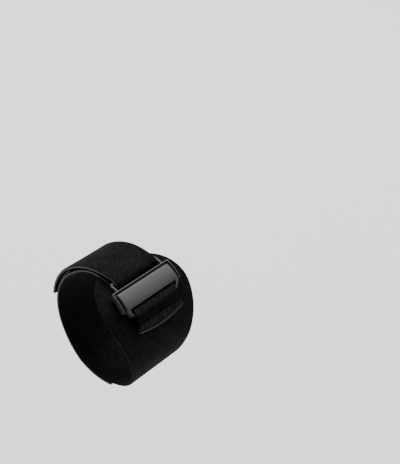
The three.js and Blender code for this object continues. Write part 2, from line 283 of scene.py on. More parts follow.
def settle(start, end, value):
    """1 before start and 0 past end: cloth coming down over a step, nearly straight."""
    share = reached(start, end, value)
    return (1 - share) ** 2 * (1 + FULLNESS * share)


def smooth(start, end, value):
    share = reached(start, end, value)
    return share * share * (3 - 2 * share)


def mix(low, high, share):
    return low + (high - low) * share


def bell(value, width):
    """1 at 0, falling off smoothly on both sides."""
    return math.exp(-(value / width) ** 2)


def table_value(rows, share):
    """A value between the rows of a table of (share, value)."""
    return float(np.interp(share, [row[0] for row in rows], [row[1] for row in rows]))


# Waves that make up a ripple: their part of its height, their pace across and along it, and
# how many times the seed turns them
RIPPLE_WAVES = ((0.25, 2.1, 1.7, 3), (0.25, 2.1, -1.7, -1), (0.3, 3.3, 1.98, 3), (0.2, -1.88, 4.7, 5))

# Ripples of the cloths: height and size in metres, and seed
PAD_RIPPLE = (0.00008, 0.012, 1.3)
STRAP_RIPPLE = (0.00006, 0.011, 2.2)
WEBBING_RIPPLE = (0.0002, 0.005, 0.7)


def ripple(x, y, height, size, seed):
    """A smooth uneven wave with no edges or repeats close together."""
    return height * sum(
        part * math.sin((across * x + along * y) / size + turns * seed)
        for part, across, along, turns in RIPPLE_WAVES
    )


def spaced(start, end, step):
    """Even places from start to end, no further apart than step."""
    count = max(1, math.ceil(abs(end - start) / step))
    return [mix(start, end, i / count) for i in range(count + 1)]


def lay_on_loop(piece, layout):
    """Bends a flat piece round the loop. Its object stays at the origin."""
    mesh = piece.data
    flat = np.empty(len(mesh.vertices) * 3)
    mesh.vertices.foreach_get("co", flat)
    across, along, height = flat.reshape(-1, 3).T
    turn = np.interp(np.mod(along, layout.girth), layout.lengths, layout.turns)
    on = np.stack([layout.half_width * np.cos(turn), -layout.half_depth * np.sin(turn)])
    on /= np.linalg.norm(on, axis=0)
    first = layout.half_width * np.sin(turn) - on[1] * height
    second = layout.half_depth * np.cos(turn) + on[0] * height
    narrow = 1 - layout.sizes.loop.taper * across / layout.half_depth
    lean = layout.sizes.loop.buckle_turn
    y = (first * math.cos(lean) - second * math.sin(lean)) * narrow
    z = (first * math.sin(lean) + second * math.cos(lean)) * narrow
    mesh.vertices.foreach_set("co", np.stack([across, y, z], axis=1).ravel())
    mesh.update()


def edge_levels(thickness, rounding):
    """Depths through a sheet from one face to the other, with how far each is set in."""
    half = thickness / 2
    lower = []
    for i in range(EDGE_TURNS, -1, -1):
        turn = math.pi / 2 * i / EDGE_TURNS
        lower.append((-half + rounding * (1 - math.sin(turn)), rounding * (1 - math.cos(turn))))
    return lower + [(-depth, inset) for depth, inset in reversed(lower)]


def slab(name, counts, point):
    """A closed slab with a grid on all six sides. point takes a column, row and level and gives
    the flat place and the cloth's own coordinates, which the finishes read."""
    last = [count - 1 for count in counts]
    index = {}
    places = []
    cloth = []

    def vertex(key):
        if key not in index:
            index[key] = len(places)
            place, own = point(*key)
            places.append(place)
            cloth.extend(own)
        return index[key]

    def corner(axis, side, u, v):
        key = [0, 0, 0]
        key[axis] = side
        key[(axis + 1) % 3] = u
        key[(axis + 2) % 3] = v
        return vertex(tuple(key))

    faces = []
    for axis in range(3):
        for side in (0, last[axis]):
            for u in range(last[(axis + 1) % 3]):
                for v in range(last[(axis + 2) % 3]):
                    steps = [(u, v), (u + 1, v), (u + 1, v + 1), (u, v + 1)]
                    quad = [corner(axis, side, *step) for step in steps]
                    faces.append(quad if side else quad[::-1])
    mesh = bpy.data.meshes.new(name)
    mesh.from_pydata(places, [], faces)
    mesh.attributes.new("cloth", "FLOAT_VECTOR", "POINT").data.foreach_set("vector", cloth)
    piece = bpy.data.objects.new(name, mesh)
    bpy.context.scene.collection.objects.link(piece)
    return piece


def alone(piece):
    """Selects one piece and nothing else."""
    if bpy.context.object and bpy.context.object.mode != "OBJECT":
        bpy.ops.object.mode_set(mode="OBJECT")
    bpy.ops.object.select_all(action="DESELECT")
    piece.select_set(True)
    bpy.context.view_layer.objects.active = piece


def named(name):
    """Names the active piece and its mesh."""
    piece = bpy.context.active_object
    piece.name = name
    piece.data.name = name
    return piece


@contextmanager
def editing(piece):
    """Edit mode on one piece, with all of it selected at first."""
    alone(piece)
    bpy.ops.object.mode_set(mode="EDIT")
    bpy.ops.mesh.select_all(action="SELECT")
    yield
    bpy.ops.object.mode_set(mode="OBJECT")


def modified(piece, kind, **values):
    """Adds one modifier with its values and applies it."""
    alone(piece)
    modifier = piece.modifiers.new(kind, kind)
    for name, value in values.items():
        setattr(modifier, name, value)
    bpy.ops.object.modifier_apply(modifier=modifier.name)


def finish_piece(piece, material, slot, *nodes):
    piece.data.materials.clear()
    piece.data.materials.append(material)
    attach(piece, BODY)
    if nodes:
        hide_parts(*nodes)


def finish_soft(piece, layout, material, slot, *nodes):
    with editing(piece):
        bpy.ops.mesh.normals_make_consistent(inside=False)
    lay_on_loop(piece, layout)
    finish_piece(piece, material, slot, *nodes)
    alone(piece)
    bpy.ops.object.shade_smooth()


# Soft pieces
def path_row(at, height, away, run=0.0):
    return {"at": at, "height": height, "away": away, "run": run}


def with_runs(rows):
    """Adds to each row how far along the cloth it lies."""
    run = 0.0
    last = rows[0]
    for row in rows:
        run += math.hypot(row["at"] - last["at"], row["height"] - last["height"])
        row["run"] = run
        last = row
    return rows


def flat_run(places, height_at, sense):
    return [path_row(at, height_at(at), (0.0, sense)) for at in places]


def fold_round(at, height, radius, sense):
    """A half turn round a bar, from under it to over it."""
    rows = []
    for i in range(1, FOLD_TURNS):
        angle = math.pi * i / FOLD_TURNS
        on, out = sense * math.sin(angle), -math.cos(angle)
        rows.append(path_row(at + radius * on, height + radius * out, (-on, -out)))
    return rows


def is_outer(row):
    """True on the part of a path that lies over its fold, where the cloth shows."""
    return row["away"][1] < 0


def sheet_along(name, path, thickness, rounding, edges_at, columns, lift=None, bow=None):
    """A sheet that follows a path. edges_at gives its two edges on each row, lift how far a
    place stands off the path, and bow how far the middle of a row runs on past its corners."""
    levels = edge_levels(thickness, rounding)
    last_row = len(path) - 1

    def point(column, row, level):
        depth, inset = levels[level]
        here = path[row]
        left, right = edges_at(here)
        share = column / (columns - 1)
        x = mix(left + inset, right - inset, share)
        other = path[row - 1] if row else path[1]
        ahead = 1 if row else -1
        on = Vector((here["at"] - other["at"], here["height"] - other["height"])).normalized() * ahead
        shift = inset if row == 0 else -inset if row == last_row else 0.0
        rise = depth + (lift(x, here) if lift else 0.0)
        at = here["at"] + on.x * shift + here["away"][0] * rise
        height = here["height"] + on.y * shift + here["away"][1] * rise
        if bow:
            at += bow(here) * (1 - (2 * share - 1) ** 2)
        return (x, at, height), (x, here["run"], depth)

    return slab(name, (columns, len(path), len(levels)), point)


def flat_area(path, edges_at):
    """The cut's area, for a sheet that follows a path."""
    wide = [edges_at(row)[1] - edges_at(row)[0] for row in path]
    steps = np.diff([row["run"] for row in path])
    return float(sum(steps * (np.array(wide[1:]) + wide[:-1]) / 2))


def pad_outline(layout, at, inset, round_turn=None):
    """The pad's two edges at a place, or at a turn of the round lobe."""
    pad = layout.sizes.pad
    if round_turn is None:
        half = mix(pad.lobe_radius, layout.sizes.strap.width / 2, layout.narrowed(at)) - inset
        shift = pad.lobe_shift * (1 - layout.narrowed(at))
        return at, shift - half, shift + half
    radius = pad.lobe_radius - inset
    reach = layout.lobe_centre + radius * math.sin(round_turn)
    half = radius * math.cos(round_turn)
    return reach, pad.lobe_shift - half, pad.lobe_shift + half


def make_pad(layout):
    pad = layout.sizes.pad
    levels = edge_levels(pad.thickness, layout.sizes.strap.rounding)
    straight = [(at, None) for at in spaced(layout.pad_end, layout.lobe_centre, CLOTH_STEP)]
    turned = [(layout.lobe_centre, TIP_ANGLE * i / TIP_TURNS) for i in range(1, TIP_TURNS + 1)]
    rows = straight + turned
    columns = math.ceil(2 * pad.lobe_radius / CLOTH_STEP)

    def point(column, row, level):
        depth, inset = levels[level]
        at, turn = rows[row]
        start = inset if row == 0 else 0.0
        place, left, right = pad_outline(layout, at + start, inset, turn)
        x = mix(left, right, column / (columns - 1))
        wave = ripple(x, place, *PAD_RIPPLE) if level else 0.0
        return (x, place, pad.thickness / 2 + depth + wave), (x, place, depth)

    piece = slab("pad_cloth", (columns, len(rows), len(levels)), point)
    widths = [pad_outline(layout, at, 0.0, turn) for at, turn in rows]
    area = sum((b[0] - a[0]) * (b[2] - b[1] + a[2] - a[1]) / 2 for a, b in zip(widths, widths[1:]))
    return piece, area


def strap_path(layout):
    strap, gap = layout.sizes.strap, layout.sizes.loop.gap
    middle = strap.thickness / 2
    sewn_end = layout.pad_end_behind + strap.seam
    under = spaced(sewn_end, layout.far_bar_place, CLOTH_STEP)
    over = spaced(layout.far_bar_place, layout.tail_end, CLOTH_STEP)
    radius = layout.sizes.buckle.far_bar / 2 + gap + middle
    return with_runs([
        *flat_run(under, lambda at: layout.lower_face(at) + middle, 1.0),
        *fold_round(layout.far_bar_place, layout.far_bar_height, radius, -1),
        *flat_run(over, lambda at: layout.upper_face(at) + middle, -1.0),
    ])


# How far the strap's edges stand up past its fold, in metres, and how sharply they turn up
STRAP_EDGE_RISE = 0.0001
EDGE_SHARPNESS = 4


def make_strap(layout):
    strap = layout.sizes.strap
    path = strap_path(layout)
    pinch_end = layout.far_bar_place + strap.pinch_length

    def widened(row):
        return smooth(layout.far_bar_place, pinch_end, row["at"])

    def edges(row):
        half = strap.width / 2 - strap.pinch * (1 - widened(row))
        return -half, half

    def lift(x, row):
        if not is_outer(row):
            return 0.0
        edge = STRAP_EDGE_RISE * (abs(x) / (strap.width / 2)) ** EDGE_SHARPNESS
        return -widened(row) * (ripple(x, row["run"], *STRAP_RIPPLE) + edge)

    columns = math.ceil(strap.width / CLOTH_STEP)
    piece = sheet_along("strap_cloth", path, strap.thickness, strap.rounding, edges, columns, lift)
    return piece, path[-1]["run"], flat_area(path, edges)


def make_tab(layout):
    strap, gap = layout.sizes.strap, layout.sizes.loop.gap
    half = strap.width / 2 - strap.tab_margin
    middle = strap.tab_thickness / 2

    def height(at):
        return layout.lower_face(at) + strap.thickness + gap + middle

    places = spaced(layout.tab_end - strap.tab_length, layout.tab_end, CLOTH_STEP)
    path = with_runs(flat_run(places, height, 1.0))
    columns = math.ceil(2 * half / CLOTH_STEP)
    return sheet_along(
        "hook_tape", path, strap.tab_thickness, strap.tab_thickness / 4, lambda row: (-half, half),
        columns,
    )


# Relief of the webbing. Rows and widths are shares of the way from the fold's foot to the
# sewn corners, heights are shares of the pucker, slant and drift are in radians, and the
# crease is in metres.
FALL_ROUNDNESS = 1.7
STITCH_ROWS = (0.12, 0.78)
RIDGE_WIDTH = 0.2
DIP_WIDTH = 0.09
DIP_HEIGHT = 0.5
LOWEST_DIP = -0.4
GATHER_HEIGHT = 0.725
GATHER_SWING = 0.275
GATHER_SLANT = 3.0
GATHER_DRIFT = 1.4
DRIFT_PACE = 0.37
CREASE_PLACE = 0.0005
CREASE_WIDTH = 0.0008

# Rows of painted highlight on the webbing, in metres: how far before and past the near bar, how far
# before the first and second row of stitches, and the width of the soft edges
ROLL_BEFORE = 0.0034
ROLL_PAST = 0.0012
ROLL_EDGE = 0.0012
RIDGE_BEFORE = (0.0002, 0.0006)
RIDGE_EDGE = 0.0004


def web_top_height(layout, at):
    web, gap = layout.sizes.webbing, layout.sizes.loop.gap
    sewn = layout.layer_one + web.thickness + gap + web.thickness / 2
    fold = layout.near_bar_height + layout.sizes.buckle.near_bar / 2 + gap + web.thickness / 2
    gone = reached(layout.near_bar_place, layout.near_bar_place - web.fall, at)
    return mix(fold, sewn, gone ** FALL_ROUNDNESS)


def web_path(layout):
    web, gap = layout.sizes.webbing, layout.sizes.loop.gap
    middle = web.thickness / 2
    under = spaced(layout.web_corner, layout.near_bar_place, CLOTH_STEP)
    over = spaced(layout.near_bar_place, layout.web_corner, CLOTH_STEP / 2)
    radius = layout.sizes.buckle.near_bar / 2 + gap + middle
    return with_runs([
        *flat_run(under, lambda at: layout.layer_one + middle, 1.0),
        *fold_round(layout.near_bar_place, layout.near_bar_height, radius, 1),
        *flat_run(over, lambda at: web_top_height(layout, at), -1.0),
    ])


def sewn_share(layout, at):
    """The share of the way from the fold's foot to the sewn corners."""
    return (at - layout.web_foot) / (layout.web_corner - layout.web_foot)


def stitch_line(layout, share, x):
    """Where a row of stitches crosses the webbing: nearly straight, bowed as its end is."""
    bow = layout.sizes.webbing.bow * share * (1 - (x / (layout.sizes.strap.width / 2)) ** 2)
    return mix(layout.web_foot, layout.web_corner, share) - bow


def pucker_at(layout, x, share):
    """How far the sewn webbing stands up between its rows of stitches."""
    ridge = bell(share - sum(STITCH_ROWS) / 2, RIDGE_WIDTH)
    dips = sum(bell(share - row, DIP_WIDTH) for row in STITCH_ROWS)
    turn = 2 * math.pi * x / layout.sizes.webbing.stitch
    drift = GATHER_DRIFT * math.sin(DRIFT_PACE * turn)
    gather = GATHER_HEIGHT + GATHER_SWING * math.sin(turn + GATHER_SLANT * share + drift)
    return layout.sizes.webbing.pucker * max(ridge * gather - dips * DIP_HEIGHT, LOWEST_DIP)


def make_webbing(layout):
    web = layout.sizes.webbing
    path = web_path(layout)
    end_run = path[-1]["run"]

    def edges(row):
        spread = smooth(layout.near_bar_place, layout.web_corner, row["at"]) if is_outer(row) else 0.0
        half = layout.sizes.strap.width / 2 + web.flare * spread
        return -half, half

    def lift(x, row):
        if not is_outer(row):
            return 0.0
        share = sewn_share(layout, row["at"])
        fold = smooth(1.0, 0.0, share)
        crease = web.crease * fold * bell(x - CREASE_PLACE, CREASE_WIDTH)
        loose = fold * ripple(x, row["run"], *WEBBING_RIPPLE)
        bead = web.bead_rise if end_run - row["run"] < web.bead else 0.0
        sewn = pucker_at(layout, x, share) if share > 0 else 0.0
        return crease - loose - bead - sewn

    def bow(row):
        return -web.bow * smooth(layout.web_foot, layout.web_corner, row["at"]) if is_outer(row) else 0.0

    columns = 2 * math.ceil(layout.sizes.strap.width / CLOTH_STEP)
    rounding = web.thickness / 4
    piece = sheet_along("webbing_loop", path, web.thickness, rounding, edges, columns, lift, bow)
    return piece, end_run, flat_area(path, edges)


def painted_highlight_rows(layout, run):
    """Where the webbing gets its painted highlight along its run: on its roll over the near bar and on
    its ridge.
    """
    roll = run - (layout.near_bar_place - layout.web_corner)
    foot = roll + layout.sizes.webbing.drop
    ridge = [mix(foot, run, share) - before for share, before in zip(STITCH_ROWS, RIDGE_BEFORE)]
    return (roll - ROLL_BEFORE, roll + ROLL_PAST, ROLL_EDGE), (*ridge, RIDGE_EDGE)


# Stitches: how far a thread dips into its holes as a share of its thickness, and lengths of a
# stitch as shares of the webbing's pitch. The seam's rows are shares of its overlap, and
# margins and the step are in metres.
HOLE_DIP = 0.6
WEB_STITCH = 0.9
SEAM_STITCH = 1.1
SEAM_PITCH = 1.25
SEAM_ROWS = (0.12, 0.5, 0.88)
WEB_MARGIN = 0.0015
SEAM_MARGIN = 0.002
SLOPE_STEP = 0.0005
THREAD_SIDES = 10
THREAD_RINGS = 8


def thread_stitch(length_along, diameter):
    """One stitch: a short thread that arches between its holes, made from a sphere."""
    bpy.ops.mesh.primitive_uv_sphere_add(segments=THREAD_SIDES, ring_count=THREAD_RINGS, radius=0.5)
    stitch = bpy.context.active_object
    with editing(stitch):
        bpy.ops.transform.rotate(value=math.pi / 2, orient_axis="Y", center_override=(0, 0, 0))
        bpy.ops.transform.resize(value=(length_along, diameter, diameter))
    for point in stitch.data.vertices:
        share = point.co.x / (length_along / 2)
        point.co.z -= HOLE_DIP * diameter * share * share
    return stitch


def stitches(name, layout, places, length_along):
    """Copies of one stitch at flat places (x, along, height, turn), joined into one piece."""
    stitch = thread_stitch(length_along, layout.sizes.webbing.thread)
    copies = []
    for x, at, height, turn in places:
        copy = stitch.copy()
        copy.data = stitch.data.copy()
        copy.location = (x, at, height)
        copy.rotation_euler = (0, 0, turn)
        bpy.context.scene.collection.objects.link(copy)
        copies.append(copy)
    bpy.data.objects.remove(stitch)
    alone(copies[0])
    for copy in copies:
        copy.select_set(True)
    bpy.ops.object.transform_apply(location=True, rotation=True, scale=True)
    bpy.ops.object.join()
    return named(name)


def across_row(half, pitch):
    """Places of the stitches across a row."""
    count = int(2 * half / pitch)
    return [mix(-half, half, (i + 0.5) / count) for i in range(count)]


def webbing_stitch_places(layout):
    web = layout.sizes.webbing
    places = []
    for share in STITCH_ROWS:
        for x in across_row(layout.sizes.strap.width / 2 - WEB_MARGIN, web.stitch):
            at = stitch_line(layout, share, x)
            low = pucker_at(layout, x, min(sewn_share(layout, at), 1))
            slope = (stitch_line(layout, share, x + SLOPE_STEP) - at) / SLOPE_STEP
            height = web_top_height(layout, at) + web.thickness / 2 + low
            places.append((x, at, height, math.atan(slope)))
    return places


def seam_stitch_places(layout):
    """Three rows across the strap where it is sewn over the pad's narrow end."""
    strap = layout.sizes.strap
    across = across_row(strap.width / 2 - SEAM_MARGIN, layout.sizes.webbing.stitch * SEAM_PITCH)
    rows = [layout.pad_end_behind + strap.seam * share for share in SEAM_ROWS]
    return [(x, at, layout.lower_face(at) + strap.thickness, 0.0) for at in rows for x in across]


# Buckle

# The plate's crown from far to near: share of the way, share of the plate's height
CROWN = (
    (0, 0.96), (0.06, 0.995), (0.2, 1.02), (0.45, 1.04), (0.7, 1.035), (0.88, 1.015), (0.96, 0.995),
    (1, 0.98),
)

# The ears past the near slot: their top as a share of the plate's height, and their lower side
# from the pad at 0 to the plate's lower side at 1
EAR_TOP = ((0, 0.98), (0.25, 0.88), (0.55, 0.71), (0.8, 0.52), (0.92, 0.42), (1, 0.34))
EAR_LOW = ((0, 1.0), (0.3, 0.43), (0.62, 0.0), (0.9, 0.0), (1, 0.5))

# The side walls' top from the rim to their near end: their lower edge is 0, side height 1 and rim
# height 2
SIDE_TOP = ((0, 2.0), (0.5, 1.98), (0.78, 1.9), (0.9, 1.65), (0.96, 1.35), (1, 0.9))

# How sharply the plate's droop sets in toward its ends
DROOP_SHARPNESS = 4

# Share of the floor's thickness that lies below the plate
PLATE_SINK = 0.25

# Shares of an ear's length between which it narrows, and of its width past the near bar's end
EAR_TAPER_SPAN = (-0.1, 0.95)
EAR_PAST_BAR = 0.75

# Shares of the far rim's thickness before a lug, and of a lug's width that its rounding takes
LUG_SINK = 0.35
LUG_ROUNDING = 0.4

# Shares of a lug's length where its root ends and its tip starts, and of its height that the
# tip loses
LUG_ROOT_END = 0.65
LUG_TIP_START = 0.6
LUG_TIP_DROP = 0.45

# Exactness of the moulding: lengths in metres, and how straight a face looks along an axis
BEVEL_STEPS = 3
BEVEL_ANGLE = math.radians(60)
SMOOTH_ANGLE = math.radians(32)
SHORTEST_EDGE = 0.00002
JOIN_SLACK = 0.00001
FACING = 0.9


def set_in_place(name):
    """Names the form that was just added and applies its place, turn and size."""
    bpy.ops.object.transform_apply(location=True, rotation=True, scale=True)
    return named(name)


def block(name, low, high):
    """A cube stretched between two corners: the start of a moulded form."""
    middle = [(a + b) / 2 for a, b in zip(low, high)]
    bpy.ops.mesh.primitive_cube_add(size=1, location=middle, scale=[b - a for a, b in zip(low, high)])
    return set_in_place(name)


def make_bar(name, at, height, diameter, half):
    bpy.ops.mesh.primitive_cylinder_add(
        vertices=BAR_SIDES, radius=diameter / 2, depth=2 * half,
        location=(0, at, height), rotation=(0, math.pi / 2, 0),
    )
    return set_in_place(name)


def cut_across(piece, axis, places):
    """Cuts a form with planes across one axis."""
    with editing(piece):
        for place in places:
            bpy.ops.mesh.select_all(action="SELECT")
            normal = Vector(float(i == axis) for i in range(3))
            bpy.ops.mesh.bisect(plane_co=normal * place, plane_no=normal)


def pull_out(piece, test, move):
    """Extrudes the faces whose middle and normal pass a test."""
    with editing(piece):
        bpy.ops.mesh.select_mode(type="FACE")
        bpy.ops.mesh.select_all(action="DESELECT")
        shape = bmesh.from_edit_mesh(piece.data)
        for face in shape.faces:
            face.select_set(test(face.calc_center_median(), face.normal))
        shape.select_flush_mode()
        bmesh.update_edit_mesh(piece.data)
        bpy.ops.mesh.extrude_region_move(TRANSFORM_OT_translate={"value": move})


def bevelled(piece, width):
    modified(
        piece, "BEVEL", width=width, segments=BEVEL_STEPS, limit_method="ANGLE",
        angle_limit=BEVEL_ANGLE, use_clamp_overlap=True,
    )
    with editing(piece):
        bpy.ops.mesh.remove_doubles(threshold=SHORTEST_EDGE)
        bpy.ops.mesh.dissolve_degenerate(threshold=SHORTEST_EDGE)


def make_plate(layout):
    """The convex plate, with an ear past each end of the near slot."""
    sizes = layout.sizes.buckle
    base = layout.pad_top
    low = base + layout.floor_low + sizes.floor_thickness * PLATE_SINK
    high = base + sizes.plate_height
    reach = layout.near_slot + sizes.near_bar
    half = layout.plate_half
    inner = half - sizes.ear_width
    piece = block("plate", (-half, layout.plate_near, low), (half, layout.plate_far, high))
    cut_across(piece, 0, (-inner, inner))
    pull_out(piece, lambda at, normal: normal.y < -FACING and abs(at.x) > inner, (0, -reach, 0))
    bevelled(piece, sizes.rounding)
    cut_across(piece, 1, spaced(layout.plate_near - reach, layout.plate_far, BUCKLE_STEP)[1:-1])
    cut_across(piece, 0, spaced(-inner, inner, CROWN_STEP)[1:-1])
    for point in piece.data.vertices:
        across = abs(point.co.x)
        past = (layout.plate_near - point.co.y) / reach
        along = min((layout.plate_far - point.co.y) / sizes.plate_length, 1)
        top = table_value(CROWN, along)
        bottom = low
        if past > 0:
            top = table_value(EAR_TOP, past)
            bottom = mix(base + layout.sizes.loop.gap, low, table_value(EAR_LOW, past))
        droop = sizes.droop * (across / half) ** DROOP_SHARPNESS
        share = (point.co.z - low) / (high - low)
        point.co.z = mix(bottom, base + top * sizes.plate_height - droop, share)
        spread = sizes.plate_spread * along * across / half
        on_ear = max(across - inner, 0) / sizes.ear_width
        drawn = sizes.ear_taper * smooth(*EAR_TAPER_SPAN, past) * on_ear
        point.co.x += math.copysign(1, point.co.x) * (spread - drawn)
    return piece


def make_tray(layout):
    """The floor, the far rim and the side walls."""
    sizes = layout.sizes.buckle
    base = layout.pad_top
    half = layout.buckle_half
    inner = half - sizes.wall
    floor_low, floor_high = base + layout.floor_low, base + sizes.floor_height
    side_low, rim_top = base + sizes.side_lift, base + sizes.rim_height
    near = layout.plate_near + sizes.wall / 2
    side_end = layout.plate_near - sizes.wall / 2
    piece = block("tray", (-half, near, floor_low), (half, layout.rim_outer, floor_high))
    cut_across(piece, 0, (-inner, inner, -inner + sizes.wall, inner - sizes.wall))
    cut_across(piece, 1, (layout.rim_inner,))
    pull_out(piece, lambda at, normal: normal.y < -FACING and abs(at.x) > inner, (0, side_end - near, 0))

    def on_border(at):
        return abs(at.x) > inner or at.y > layout.rim_inner

    up, down = (0, 0, rim_top - floor_high), (0, 0, side_low - floor_low)
    pull_out(piece, lambda at, normal: normal.z > FACING and on_border(at), up)
    pull_out(piece, lambda at, normal: normal.z < -FACING and on_border(at), down)
    bevelled(piece, sizes.rounding / 2)
    cut_across(piece, 1, spaced(side_end, layout.rim_inner, BUCKLE_STEP)[1:-1])
    for point in piece.data.vertices:
        if abs(point.co.x) < inner - sizes.wall / 2:
            continue
        share = reached(layout.rim_outer, side_end, point.co.y)
        rise = table_value(SIDE_TOP, share)
        top = mix(side_low, base + sizes.side_height, min(rise, 1.0))
        top += max(rise - 1, 0) * (sizes.rim_height - sizes.side_height)
        point.co.z = mix(side_low, top, (point.co.z - side_low) / (rim_top - side_low))
        point.co.x += math.copysign(sizes.wall_spread, point.co.x) * share
    return piece


def make_lugs(layout):
    """A lug at each end of the far bar, inside the line of the walls."""
    sizes = layout.sizes.buckle
    radius = sizes.far_bar / 2
    middle = layout.far_bar_height
    end = layout.far_bar_place + sizes.lug_reach
    start = mix(layout.rim_inner, layout.rim_outer, LUG_SINK)
    rim_rise = layout.pad_top + sizes.rim_height - sizes.rounding - middle - radius
    floor_drop = middle - radius - layout.pad_top - layout.floor_low
    pieces = []
    for side in (-1, 1):
        near, far = sorted((side * layout.lug_inner, side * (layout.lug_inner + sizes.lug_width)))
        piece = block("lug", (near, start, middle - radius), (far, end, middle + radius))
        bevelled(piece, sizes.lug_width * LUG_ROUNDING)
        cut_across(piece, 1, spaced(start, end, BUCKLE_STEP)[1:-1])
        for point in piece.data.vertices:
            share = (point.co.y - start) / (end - start)
            root = smooth(LUG_ROOT_END, 0.0, share)
            taper = 1 - LUG_TIP_DROP * smooth(LUG_TIP_START, 1.0, share)
            part = (point.co.z - middle) / radius
            reach = radius * taper + root * (rim_rise if part > 0 else floor_drop)
            point.co.z = middle + part * reach
        pieces.append(piece)
    return pieces


def joint_box(*pieces):
    """The lowest and highest corner of some pieces together."""
    places = np.array([point.co for piece in pieces for point in piece.data.vertices])
    return np.stack([places.min(axis=0), places.max(axis=0)])


def volume_of(piece):
    shape = bmesh.new()
    shape.from_mesh(piece.data)
    volume = shape.calc_volume()
    shape.free()
    return volume


def make_buckle(layout):
    sizes = layout.sizes.buckle
    far_half = layout.lug_inner + sizes.lug_width / 2
    near_half = layout.plate_half - sizes.ear_width * EAR_PAST_BAR
    piece = make_tray(layout)
    others = [
        make_plate(layout),
        *make_lugs(layout),
        make_bar("far_bar", layout.far_bar_place, layout.far_bar_height, sizes.far_bar, far_half),
        make_bar("near_bar", layout.near_bar_place, layout.near_bar_height, sizes.near_bar, near_half),
    ]
    for other in others:
        corners, volume = joint_box(piece, other), volume_of(piece)
        modified(piece, "BOOLEAN", operation="UNION", solver="EXACT", object=other)
        if np.abs(joint_box(piece) - corners).max() > JOIN_SLACK or volume_of(piece) <= volume:
            raise RuntimeError(f"the union lost {other.name} or what was joined before it")
        bpy.data.objects.remove(other)
    return named("buckle_moulding")


# Finishes

# The part of a noise's range that matters
NOISE_SPAN = (0.3, 0.7)

# Lengths of the finishes, in metres. Scales of the textures are in cells for each metre.
FRAY = 0.00022
CORE_EDGE = (-0.00012, 0.00004)
RIB_PITCH = 0.00085
WARP_PITCH = 0.0006
END_WANDER = 0.0003
SEAL_EDGE = 0.00015


def fill(tree, socket, value):
    """Sets a socket's own value or links it to another socket."""
    if isinstance(value, bpy.types.NodeSocket):
        tree.links.new(value, socket)
    else:
        socket.default_value = value


def added(tree, kind, group=None, **inputs):
    """A node with values or links for its inputs, and its outputs."""
    node = tree.nodes.new("ShaderNode" + kind)
    if group:
        node.node_tree = group
    for label, value in inputs.items():
        fill(tree, node.inputs[label.replace("_", " ")], value)
    return node.outputs


def new_material(name):
    material = bpy.data.materials.new(name)
    material.use_nodes = True
    material.node_tree.nodes.clear()
    return material, material.node_tree


def shaded(tree, **inputs):
    """Ends a material with a shader that has these inputs."""
    added(tree, "OutputMaterial", Surface=added(tree, "BsdfPrincipled", **inputs)["BSDF"])


def noise(tree, place, scale, detail=2.0, rough=0.5):
    return added(tree, "TexNoise", Vector=place, Scale=scale, Detail=detail, Roughness=rough)["Fac"]


def ranged(tree, value, low, high, to_low=0.0, to_high=1.0):
    return added(
        tree, "MapRange", Value=value, From_Min=low, From_Max=high, To_Min=to_low, To_Max=to_high,
    )["Result"]


def maths(tree, operation, *values):
    node = tree.nodes.new("ShaderNodeMath")
    node.operation = operation
    for socket, value in zip(node.inputs, values):
        fill(tree, socket, value)
    return node.outputs["Value"]


def plus(tree, first, second):
    return maths(tree, "ADD", first, second)


def times(tree, first, second):
    return maths(tree, "MULTIPLY", first, second)


def blended(tree, first, second, share):
    """Two values added, the second with its share and the first with the rest."""
    return plus(tree, times(tree, first, 1 - share), times(tree, second, share))


def mixed(tree, share, first, second):
    node = tree.nodes.new("ShaderNodeMix")
    node.data_type = "RGBA"
    fill(tree, node.inputs["Factor"], share)
    colours = [socket for socket in node.inputs if socket.type == "RGBA"]
    for socket, value in zip(colours, (first, second)):
        fill(tree, socket, value)
    return next(socket for socket in node.outputs if socket.type == "RGBA")


def toned(values, part=1.0):
    """A colour with its alpha, made darker or lighter by a part."""
    return (*(value * part for value in values), 1.0)


def tones(values, low, high=1.0):
    """A darker and a lighter tone of one colour."""
    return toned(values, low), toned(values, high)


def between(tree, value, low, high, edge):
    """1 where a value lies between two others, 0 outside them."""
    rise = ranged(tree, value, low - edge, low + edge)
    return times(tree, rise, ranged(tree, value, high + edge, high - edge))


def stretched(tree, place, scale):
    return added(tree, "Mapping", Vector=place, Scale=scale)["Vector"]


def bump(tree, height, strength, distance):
    return added(tree, "Bump", Height=height, Strength=strength, Distance=distance)["Normal"]


def own_coordinates(tree):
    """The cloth's own coordinates: across, along and through it, in metres."""
    node = tree.nodes.new("ShaderNodeAttribute")
    node.attribute_name = "cloth"
    return node.outputs["Vector"]


def object_coordinates(tree):
    return added(tree, "TexCoord")["Object"]


def new_group(name, inputs, outputs):
    """A node group, from the names and kinds of its sockets."""
    tree = bpy.data.node_groups.new(name, "ShaderNodeTree")
    for sockets, side in ((inputs, "INPUT"), (outputs, "OUTPUT")):
        for label, kind in sockets.items():
            tree.interface.new_socket(label, in_out=side, socket_type="NodeSocket" + kind)
    return tree, tree.nodes.new("NodeGroupInput").outputs, tree.nodes.new("NodeGroupOutput").inputs


